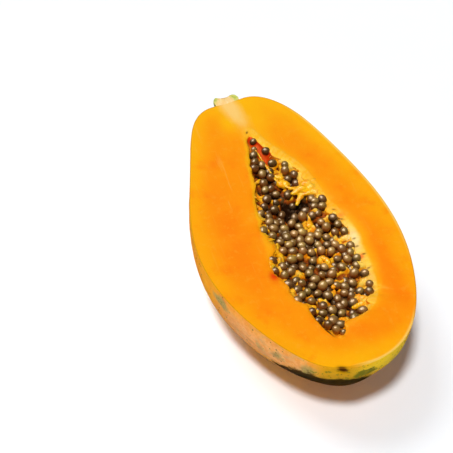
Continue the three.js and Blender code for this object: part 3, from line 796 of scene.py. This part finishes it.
def inside_cavity(x, y, z):
    distance = y + MIDDLE
    if not CAVITY_FROM < distance < CAVITY_TO:
        return False
    middle, half = cavity_across(distance)
    return hypot(x - middle, z / CAVITY_ROUNDNESS) < half - min(SEED_EDGE, SEED_EDGE_SHARE * half)


def tuft_ovals():
    """Each tuft in plan, with the room round it: middle x and y, and half its width and length."""
    for distance, side, reach, width in TUFTS:
        middle, half = cavity_across(distance)
        yield (middle + side * (half + (TUFT_ROOT - reach) / 2), distance - MIDDLE,
               (reach + TUFT_ROOT) / 2 + TUFT_MARGIN, width / 2 + TUFT_MARGIN)


def candidates(random, drop, tries):
    """Places over the cavity at random: (x, y, z, three numbers for the turn)."""
    for _ in range(tries):
        x = SEEDS_FROM_X + SEEDS_ACROSS * next(random)
        y = CAVITY_FROM + (CAVITY_TO - CAVITY_FROM) * next(random) - MIDDLE
        turn = (next(random), next(random), next(random))
        yield x, y, bed_height(x, y) - drop + SEED_LIFT * (turn[0] - 0.5), turn


def outside(places, circles):
    return [p for p in places if all(hypot(p[0] - x, p[1] + MIDDLE - d) > r for x, d, r in circles)]


def seed_pass(random, spacing, drop, tries, tufts=(), before=()):
    """Seeds in the cavity, off the tufts, that far from each other and from the ones before."""
    kept = list(before)
    for place in candidates(random, drop, tries):
        x, y, z, _ = place
        off_tufts = all(hypot((x - tx) / rx, (y - ty) / ry) > 1 for tx, ty, rx, ry in tufts)
        if off_tufts and inside_cavity(x, y, z) and all(hypot(p[0] - x, p[1] - y) >= spacing for p in kept):
            kept.append(place)
    return kept[len(before):]


def tip_seed_places():
    random = random_numbers(RANDOM_SEED + 21)
    return [(x, d - MIDDLE, z, (next(random), next(random), next(random))) for x, d, z, _ in TIP_SEEDS]


def ride_up(places):
    moved = []
    for x, y, z, turn in places:
        middle, half = cavity_across(y + MIDDLE)
        for side, reach, shift, rise in RIDES:
            near = max(0, 1 - (half - side * (x - middle)) / reach)
            x += side * shift * near
            z += rise * near
        moved.append((x, y, z, turn))
    return moved


def even_turn(numbers):
    a, b, c = numbers
    p, q = sqrt(1 - a), sqrt(a)
    s, t = 2 * pi * b, 2 * pi * c
    return Quaternion((q * cos(t), p * sin(s), p * cos(s), q * sin(t)))


def unit_sphere(level):
    work = bmesh.new()
    bmesh.ops.create_icosphere(work, subdivisions=level, radius=1)
    points = np.array([v.co for v in work.verts])
    faces = np.array([[v.index for v in f.verts] for f in work.faces])
    work.free()
    return points, faces


def make_seeds(name, places, level, material, sizes=None, shade=1):
    """Lumpy balls at the places, each with its own tone, darker in deeper layers, and with painted shade on
    their undersides.
    """
    sphere, sphere_faces = unit_sphere(level)
    shapes, warmth, by_seed = [], [], []
    for i, (x, y, z, turn) in enumerate(places):
        scale = (sizes[i] / SEED_RADII[0]) if sizes else 0.8 + 0.21 * turn[1]
        lump = 1 + wobble(sphere, *SEED_LUMPS, 3.1 * i) + 0.05 * turn[2] * sphere[:, 2]
        shape = sphere * lump[:, None] * np.array(SEED_RADII) * scale
        shape = shape @ np.array(even_turn(turn).to_matrix()).T
        shapes.append(shape + (x, y, z))
        # Painted shade: the lower a point lies on its seed, the darker it is painted.
        warmth.append(bounded((0.95 - shape[:, 2] / np.linalg.norm(shape, axis=1)) / 0.8))
        # Digits of the turn's numbers give each seed its tone and hue.
        tone = 0.6 * ((turn[1] * 7.3 + turn[2] * 3.1) % 1) + marks("light_seeds", x, y + MIDDLE)
        # A layer's shade darkens all its seeds' tones: painted shade for lying deeper.
        by_seed.append((shade * tone, (turn[0] * 2.3 + turn[2] * 5.7) % 1, turn[0] ** 2))
    values = dict(zip(("tone", "olive", "redness"), np.repeat(by_seed, len(sphere), axis=0).T))
    values["warmth"] = np.concatenate(warmth)
    make_object(name, *copies(shapes, sphere_faces), [material], "seeds", "seeds", values)


# ---- The bed ----

# The fibres' surface lies this far under the seeds' middles, and swells and sinks by this much.
BED_DROP, BED_SWELL = 3.1, 2.6
# It rises at the walls, sinks in the holes and stays under the cut face; its sides reach towards the wall.
BED_RISE_LEFT, BED_RISE_RIGHT, BED_HOLE, BED_CEILING, BED_THICKNESS, BED_REACH = 2.2, 3, 4, -0.7, 0.5, 5
BED_LENGTHWISE, BED_CROSSWISE = 300, 90

# Where yellow tissue stands up between the seeds: (x, distance, radius, rise).
TISSUE = (
    (3.4, 163, 2.5, 3.6), (6.6, 156, 2.5, 3.6), (12, 149, 4, 3.4), (15.5, 143, 4, 3.4),
    (18.5, 137, 4.5, 3.4), (6, 149, 4, 2.2), (9, 142, 4, 2.4), (9, 135, 4.5, 2.6), (12, 131, 3, 2),
    (-6.5, 127, 3, 2), (-9.5, 119, 3, 2.2), (-11, 112, 5, 2.6), (-12, 104, 3.5, 2), (-12.5, 95, 4.5, 2.6),
    (-14, 88, 6, 3), (-12, 80, 5, 2.8), (-13, 74, 4, 2.4), (-12, 65, 3, 2), (-9.5, 56, 4, 2.4),
    (-8, 46, 4.5, 2.6), (-4, 37, 3, 2), (0, 104, 3, 1.6), (13.5, 104, 4, 2.6), (14, 76.5, 4.5, 2.8),
    (-3.5, 70, 3, 2.2), (-4.6, 62, 3, 2), (18, 93, 5, 2.2), (24, 88, 5, 2.6), (27, 80, 4, 2.4),
    (21, 69, 5, 2.4), (28, 66, 4, 2.6), (26, 55.5, 4.5, 2.6), (21, 48, 4, 2.6), (11.5, 57.5, 2.6, 2.2),
    (3, 47, 4, 2), (20, 42.5, 5, 3), (11, 34, 4, 2.6), (22.5, 103, 4, 2), (26, 96, 4, 2.6),
    (20.5, 110, 4, 2.4), (19, 135, 4, 2.4), (13, 143, 3, 2.4), (4, 84, 4, 2), (-4, 86, 3.5, 2),
    (8, 66, 3.5, 2), (3.4, 39, 3, 2.2), (-0.2, 31, 3, 2), (7, 116, 2, 1), (22, 118, 3, 1.6),
    (15, 84, 3, 1.6), (10, 96, 3.5, 2),
)


def hills(rows, x, distance):
    """How high each (x, distance, radius) stands over a place, from 0 to 1."""
    return np.exp(-((x - rows[:, 0]) ** 2 + (distance - rows[:, 1]) ** 2) / rows[:, 2] ** 2)


def make_bed(material):
    """The wet fibres between the seeds, a closed pad across the cavity."""
    mounds, holes = np.array(TISSUE), np.array(HOLES)
    top, bottom, swell, red = [], [], [], []
    for i in range(BED_LENGTHWISE + 1):
        distance = CAVITY_FROM + 1 + (CAVITY_TO - CAVITY_FROM - 2) * i / BED_LENGTHWISE
        middle, half = cavity_across(distance)
        for j in range(BED_CROSSWISE + 1):
            share = 2 * j / BED_CROSSWISE - 1
            x = middle + share * max(half + 0.3, 0.4)
            y = distance - MIDDLE
            near_wall = share ** 6
            bumps = 1.2 * noise.noise(Vector((x, y, 0)) / 4.2) + 0.6 * noise.noise(Vector((x, y, 9)) / 1.7)
            hole = hills(holes, x, distance).max()
            mound = (mounds[:, 3] * hills(mounds, x, distance)).max()
            rise = mound * (1 + 0.8 * noise.noise(Vector((x, y, 5)) / 2.2))
            at_wall = BED_RISE_RIGHT if share > 0 else BED_RISE_LEFT
            height = bed_height(x, y) - BED_DROP + BED_SWELL * bumps + at_wall * near_wall
            height = min(height - BED_HOLE * hole + rise, BED_CEILING)
            wall = -CAVITY_ROUNDNESS * sqrt(max(half * half - (x - middle) ** 2, 0.04))
            side = min(0, max(wall + BED_THICKNESS - height, -BED_REACH) * (1 - near_wall))
            top.append((x, y, height))
            bottom.append((x, y, height - BED_THICKNESS + side))
            # This height also sets the painted shade: lower places and the holes are painted darker.
            swell.append(BED_SWELL * bumps + 1.8 * near_wall - 0.5 * (1 - near_wall) - 3 * hole + 0.8 * rise)
            red.append(min(1, marks("red_bed", x, distance)))
    ids = np.arange(len(top)).reshape(BED_LENGTHWISE + 1, BED_CROSSWISE + 1)
    faces = grid_faces(ids) + [face[::-1] for face in grid_faces(ids + len(top))]
    border = np.concatenate([ids[0, :-1], ids[:-1, -1], ids[-1, :0:-1], ids[:0:-1, 0]])
    after = np.roll(border, -1)
    faces += np.stack([after, border, border + len(top), after + len(top)], -1).tolist()
    make_object("seed_bed", top + bottom, faces, [material], "seeds", "seeds",
                {"height": swell + swell, "red": red + red})


# ---- The pulp ----

# Soft strands and bits of placenta: chains of (x, distance, height over the seeds' middles, radius).
PULP = (
    ((25, 126.2, 0.2, 2.6), (21, 127.2, 1, 2.8), (17.5, 127.6, 2, 2.5), (14, 127.2, 1.9, 1.9),
     (11, 126.4, 1.4, 1.2)),
    ((27, 130.4, 0.4, 1.8), (23.5, 131.2, 1, 2.3), (19.5, 130.6, 1.5, 2.3), (16.4, 129.4, 1.7, 1.7)),
    ((25.5, 122.6, 0.2, 1.5), (22, 123.8, 0.8, 1.9), (17.5, 124.4, 1.4, 1.8)),
    ((16, 125, 0.6, 1.7), (13.6, 122.8, 0.3, 1.3), (11.4, 119.8, -0.2, 0.8)),
    ((18, 129.5, -0.2, 1.8), (14, 130.5, 0.2, 1.3), (11, 130.8, 0.4, 0.8)),
    ((16, 128, 0.4, 1.2), (12, 130.5, 1, 0.8), (9, 133, 1, 0.6)),
    ((0.9, 163, 0.9, 0.6), (1.8, 156, 1.4, 0.7), (3.4, 147, 1.8, 0.7), (4.4, 140, 1.6, 0.7),
     (7, 135, 1.2, 0.6)),
    ((6.5, 149, -0.6, 1.5), (8.5, 149.5, -0.4, 1.9), (10, 151.5, -0.2, 1.2)),
    ((-3.4, 141, -0.8, 1.2), (-5.4, 139.5, -0.2, 1.4)),
    ((-4.8, 128.5, -0.8, 1.3), (-6.6, 127.6, -0.2, 1.5)),
    ((7, 142, -0.6, 1.7), (9, 141, -0.4, 2)),
    ((7.5, 136.5, -0.2, 2.1), (9.5, 135, 0.2, 2.5), (11.5, 134.5, -0.2, 1.6)),
    ((13.4, 103, 0.2, 2), (14.2, 105.5, 0, 1.2), (15.2, 111, 0.2, 0.7)),
    ((13, 78, -0.1, 1.9), (14.3, 75.6, -0.1, 2.1)),
    ((-3.9, 71, -0.5, 1.9),),
    ((11.2, 58, -0.2, 1.4),),
    ((1.3, 50, 0, 1.2),),
    ((4, 38.8, -0.1, 1.3),),
    ((-9.5, 84, -0.4, 1.8), (-12.5, 87, -0.2, 2.2), (-12.4, 91, -0.4, 1.8)),
    ((-13, 111.5, -0.4, 1.8), (-10, 112, -0.6, 1.4)),
    ((25.5, 87.5, -0.8, 1.5), (29, 88.1, -0.4, 1.8)),
    ((28, 66.6, -0.6, 1.6), (31, 66, -0.4, 2)),
    ((26, 55.8, -0.6, 1.8), (29, 56, -0.3, 2)),
    ((21.2, 47.5, -0.6, 1.7), (24, 45.5, -0.4, 2)),
    ((17, 41.5, -0.6, 1.6), (22, 42.5, -0.5, 2), (25, 44, -0.4, 1.8)),
    ((-4.1, 46, -0.6, 1.4), (-8, 46.5, -0.4, 1.8)),
)

# Torn fibres along the rim: (side, from, to, spacing, least and most reach, height over the seeds' middles).
FRINGES = (
    (1, 34, 122, 1.9, 1, 3.6, -0.1), (1, 129, 158, 2.2, 0.5, 2.4, 1.4), (-1, 40, 150, 2.4, 0.6, 2.2, 1.4),
    (-1, 74, 104, 1.9, 1.4, 3.8, 1.9),
)
# A fibre starts this far outside the rim, swings along it and is this thick, at least and more.
FRINGE_ROOT, FRINGE_SWING, FRINGE_THICK, FRINGE_MORE, FRINGE_TIP = 0.6, 2.4, 0.55, 0.45, 0.5
# Strands are balls this far apart, shifted by this much and melted together at this grain.
PULP_STEP, PULP_SHIFT, PULP_GRAIN, PULP_SOFTENING = 0.6, 0.9, 0.38, 3
# Thick pulp pushes the seeds aside, by this much more than its own radius.
PULP_THICK, PULP_ROOM = 1.3, 1.3
# The folds of its surface: (height, size).
FOLDS, FINE_FOLDS = (0.3, 1.8), (0.12, 0.8)


def thick_pulp():
    """Where pulp leaves no room for seeds: (x, distance, radius)."""
    return [(x, d, r + PULP_ROOM) for chain in PULP for x, d, _, r in chain if r > PULP_THICK]


def fringe():
    """The fibres along the rim, as chains like those of the pulp."""
    random = random_numbers(RANDOM_SEED + 3)
    for side, start, end, spacing, least, most, lift in FRINGES:
        distance = start
        while distance < end:
            middle, half = cavity_across(distance)
            edge = middle + side * (half + FRINGE_ROOT)
            reach = least + (most - least) * next(random) ** 2
            swing = FRINGE_SWING * (next(random) - 0.5)
            thick = FRINGE_THICK + FRINGE_MORE * next(random)
            yield ((edge, distance, lift, thick),
                   (edge - side * 0.6 * reach, distance + 0.4 * swing, lift - 0.1, thick * 0.85),
                   (edge - side * (reach + FRINGE_ROOT), distance + swing, lift - 0.6, FRINGE_TIP))
            distance += spacing * (0.5 + next(random))


def make_pulp(material):
    """Every strand as overlapping balls, joined and smoothed into one soft mass each."""
    sphere, sphere_faces = unit_sphere(2)
    shapes = []
    for chain in (*PULP, *fringe()):
        for start, end in zip(chain, chain[1:] or chain):
            start, end = np.array(start, float), np.array(end, float)
            steps = max(2, int(np.linalg.norm((end - start)[:3]) / PULP_STEP))
            for k in range(steps + 1):
                x, distance, lift, radius = start + (end - start) * k / steps
                y, z = distance - MIDDLE, bed_height(x, distance - MIDDLE) + lift
                swell = 1 + 0.5 * noise.noise(Vector((x, distance, z)) / 2.3)
                shift = np.array([noise.noise(Vector((x, distance, 9 * a)) / 3) for a in (1, 2, 3)])
                middle = np.array([x, y, z]) + PULP_SHIFT * min(1, radius / 2) * shift
                shapes.append(sphere * radius * swell * (1, 1, 0.8) + middle)
    pulp = make_object("pulp", *copies(shapes, sphere_faces), [material], "fruit", "fruit_half")
    melt = pulp.modifiers.new("melt", "REMESH")
    melt.mode, melt.voxel_size, melt.use_smooth_shade = "VOXEL", PULP_GRAIN * MM, True
    pulp.modifiers.new("soften", "SMOOTH").iterations = PULP_SOFTENING
    # Bake the modifiers into the mesh.
    made = bpy.data.meshes.new_from_object(pulp.evaluated_get(bpy.context.evaluated_depsgraph_get()))
    pulp.modifiers.clear()
    pulp.data = made
    crumple(made)


def crumple(mesh):
    """Pushes the pulp's surface in and out a little, in folds, and marks where it is pale."""
    places, normals = np.empty((2, len(mesh.vertices) * 3))
    mesh.vertices.foreach_get("co", places)
    mesh.vertices.foreach_get("normal", normals)
    places = places.reshape(-1, 3)
    push = wobble(places / MM, *FOLDS) + wobble(places / MM, *FINE_FOLDS)
    places += normals.reshape(-1, 3) * push[:, None] * MM
    mesh.vertices.foreach_set("co", places.ravel())
    x, y, _ = (places / MM - TO_ROW).T
    distance = y + MIDDLE
    near_rim = bounded(1 - (np.interp(distance, EDGE_AT, EDGE_RIGHT) - x) / 5)
    pale = (near_rim * marks("pale_pulp", x, distance)).astype(np.float32)
    mesh.attributes.new("pale", "FLOAT", "POINT").data.foreach_set("value", pale)


# ---- The stalk stub ----

STUB_LEVELS, STUB_ROUND, STUB_ACROSS = 36, 40, 36
# The lobes of its torn top: (middle, width, height), as shares of the radius and of the ear's height.
STUB_LOBES = (-0.62, 0.32, 1), (0.5, 0.36, 1.2)
# The rings that close the top, as shares of its radius.
STUB_CAPS = (0.85, 0.68, 0.5, 0.32, 0.15)
# It widens to its waist over the first share of its height and rounds off above the second, by the third.
STUB_NARROW, STUB_ROUNDED, STUB_ROUNDING = 0.4, 0.75, 1.3
# Its cut edge lies this deep under the cut face, deeper by the second inside the neck.
CUT_DEPTH, NECK_DEPTH = 0.02, 0.6


def stub_radius(share):
    if share < STUB_NARROW:
        return STUB_ROOT_RADIUS + (STUB_WAIST - STUB_ROOT_RADIUS) * min(share / STUB_NARROW, 1)
    bulge = STUB_WAIST + (STUB_RADIUS - STUB_WAIST) * sin(pi * (share - STUB_NARROW))
    return bulge - STUB_ROUNDING * max(0, (share - STUB_ROUNDED) / (1 - STUB_ROUNDED)) ** 2


def stub_top(x):
    share = x / STUB_RADIUS
    lobes = sum(height * exp(-((share - middle) / width) ** 2) for middle, width, height in STUB_LOBES)
    return STUB_TOP + STUB_EAR * (lobes - 0.35) + STUB_SLANT * share


def sunk(distance):
    """How far the stub's cut edge lies under the cut plane: well under it inside the neck."""
    return CUT_DEPTH + NECK_DEPTH * min(1, max(0, (STUB_CLEAR - distance) / 2))


def make_stub(pith, rind):
    """Half a short stalk: bark round a fibrous pith, snapped off unevenly above the fruit."""
    points = []

    def add(x, y, z):
        points.append((x, y, z))
        return len(points) - 1

    def half_ring(radius):
        return [(radius * cos(t), radius * sin(t)) for t in np.linspace(0, -pi, STUB_ROUND + 1)]

    # Bark: rings from the root to the torn top.
    start = STUB_ROOT + 1
    rings = []
    for level in range(STUB_LEVELS + 1):
        share = level / STUB_LEVELS
        rings.append([])
        for x, z in half_ring(stub_radius(share)):
            rough = 1 + 0.05 * noise.noise(Vector((x * 0.5, share * 4, z * 0.5)))
            distance = start + (stub_top(x) - start) * share
            rings[-1].append(add(STUB_X + x * rough, distance - MIDDLE, z * rough - sunk(distance)))
    # Top: rings shrinking to their middle, with torn fibres.
    caps = [rings[-1]]
    for share in STUB_CAPS:
        caps.append([])
        for x, z in half_ring(stub_radius(1) * share):
            torn = 0.5 * noise.noise(Vector((x, z, 4)) / 1.3) - 0.5 * (share < 0.8)
            caps[-1].append(add(STUB_X + x, stub_top(x) + torn - MIDDLE, z - CUT_DEPTH))
    top_middle = add(STUB_X, stub_top(0) - 0.4 - MIDDLE, -CUT_DEPTH)
    root_middle = add(STUB_X, start - MIDDLE, -0.4)
    # Cut face: from the right edge to the left at each level.
    cut = []
    for ring in rings[:-1]:
        right, left = np.array(points[ring[0]]), np.array(points[ring[-1]])
        cut.append([ring[0]])
        for k in range(1, STUB_ACROSS):
            x, y, _ = right + (left - right) * k / STUB_ACROSS
            depth = 0.25 + 0.2 * noise.noise(Vector((x * 1.2, y * 0.3, 0)))
            cut[-1].append(add(x, y, -depth - sunk(y + MIDDLE)))
        cut[-1].append(ring[-1])
    # The cut face's last row meets the top's cut edge: right ring ends, the middle and left ring ends.
    top_edge = [ring[0] for ring in caps] + [top_middle] + [ring[-1] for ring in caps[::-1]]
    bark = grid_faces(np.array(rings))
    inside = grid_faces(np.array(caps)) + fan(top_middle, caps[-1]) + fan(root_middle, rings[0][::-1])
    inside += grid_faces(np.array(cut)) + bridge(cut[-1], top_edge)
    inside += [[root_middle, cut[0][k + 1], cut[0][k]] for k in range(STUB_ACROSS)]
    x, y, _ = np.array(points).T
    low = STUB_ROOT + 2
    height = bounded((y + MIDDLE - low) / (STUB_TOP - low))
    by_bark = bounded((np.abs(x - STUB_X + 0.6) / STUB_RADIUS - 0.95 + 0.6 * height) / 0.25)
    make_object("stub", points, bark + inside, [pith, rind], "stalk", "stalk_stub", {"rind": by_bark},
                [1] * len(bark) + [0] * len(inside))


def bridge(first, second):
    """Triangles between two chains of points that start and end side by side."""
    faces = []
    i = j = 0
    ends = len(first) - 1, len(second) - 1
    while i < ends[0] or j < ends[1]:
        if j >= ends[1] or (i < ends[0] and (i + 1) / ends[0] <= (j + 1) / ends[1]):
            faces.append([first[i], first[i + 1], second[j]])
            i += 1
        else:
            faces.append([first[i], second[j + 1], second[j]])
            j += 1
    return faces


# ---- The room ----

# The camera looks at a point on the cut face; its angles are in degrees.
CAMERA_AIM, CAMERA_DISTANCE = (-33.1, 4.5, 0), 802.2
CAMERA_AZIMUTH, CAMERA_ELEVATION, CAMERA_ROLL = -110.4, 46, 5.4
CAMERA_LENS, CAMERA_SENSOR = 119.2, 36
# The lights: the way to each, its spread in degrees, and the share of a white screen that it adds.
KEY = (-0.38, 0.25, 0.89), 22, 0.28
FRONT = (-0.28, -0.34, 0.90), 7, 0.80
SHINE = (-0.38, 0.25, 0.89), 56, 1.9
ROOM_LIGHT = 0.17
FLOOR_SIZE = 8


def make_camera():
    data = bpy.data.cameras.new("camera")
    data.lens, data.sensor_width = CAMERA_LENS, CAMERA_SENSOR
    place = Matrix.Translation(to_row(CAMERA_AIM))
    for angle, axis in ((90 + CAMERA_AZIMUTH, "Z"), (90 - CAMERA_ELEVATION, "X"), (CAMERA_ROLL, "Z")):
        place = place @ Matrix.Rotation(radians(angle), 4, axis)
    camera = add_object("camera", data)
    camera.matrix_world = place @ Matrix.Translation((0, 0, CAMERA_DISTANCE * MM))
    bpy.context.scene.camera = camera


def distant_light(name, direction, spread, share):
    """A soft light from far away, which adds that share of a white screen to a white floor."""
    data = bpy.data.lights.new(name, "SUN")
    direction = Vector(direction).normalized()
    data.angle = radians(spread)
    data.energy = share * pi / direction.z
    light = add_object(name, data)
    light.rotation_euler = direction.to_track_quat("Z", "Y").to_euler()
    return light


def make_room():
    bpy.ops.mesh.primitive_plane_add(size=FLOOR_SIZE)
    floor = bpy.context.active_object
    floor.name = "floor"
    floor.data.materials.append(floor_material())
    floor.visible_glossy = False
    distant_light("key", *KEY).visible_glossy = False
    distant_light("front", *FRONT).visible_glossy = False
    distant_light("shine", *SHINE).visible_diffuse = False
    world = bpy.data.worlds.new("room")
    world.use_nodes = True
    background = world.node_tree.nodes["Background"]
    background.inputs["Color"].default_value = (1, 1, 1, 1)
    background.inputs["Strength"].default_value = ROOM_LIGHT
    world.cycles_visibility.glossy = False
    bpy.context.scene.world = world
    bpy.context.scene.view_settings.view_transform = "Standard"


# ---- Everything ----

make_body(flesh_material(), skin_material())
random, tufts = random_numbers(RANDOM_SEED), list(tuft_ovals())
upper = seed_pass(random, *UPPER_PASS, tufts)
lower = seed_pass(random, *LOWER_PASS, tufts, upper)
deep = seed_pass(random_numbers(RANDOM_SEED + 7), *DEEP_PASS)
without_seeds = (*GAPS, *HOLES, *thick_pulp())
seeds_wet = seed_material()
make_seeds("seeds_upper", ride_up(outside(upper, without_seeds)), 4, seeds_wet)
# The lower and deep seeds get darker tones: painted shade for lying deeper in the heap.
make_seeds("seeds_lower", ride_up(outside(lower, without_seeds)), 4, seeds_wet, shade=0.5)
make_seeds("seeds_deep", outside(deep, HOLES), 3, seeds_wet, shade=0.2)
make_seeds("seeds_tip", tip_seed_places(), 4, seeds_wet, [radius for *_, radius in TIP_SEEDS])
make_bed(bed_material())
make_pulp(pulp_material())
make_stub(stalk_cut_material(), rind_material())
make_camera()
make_room()
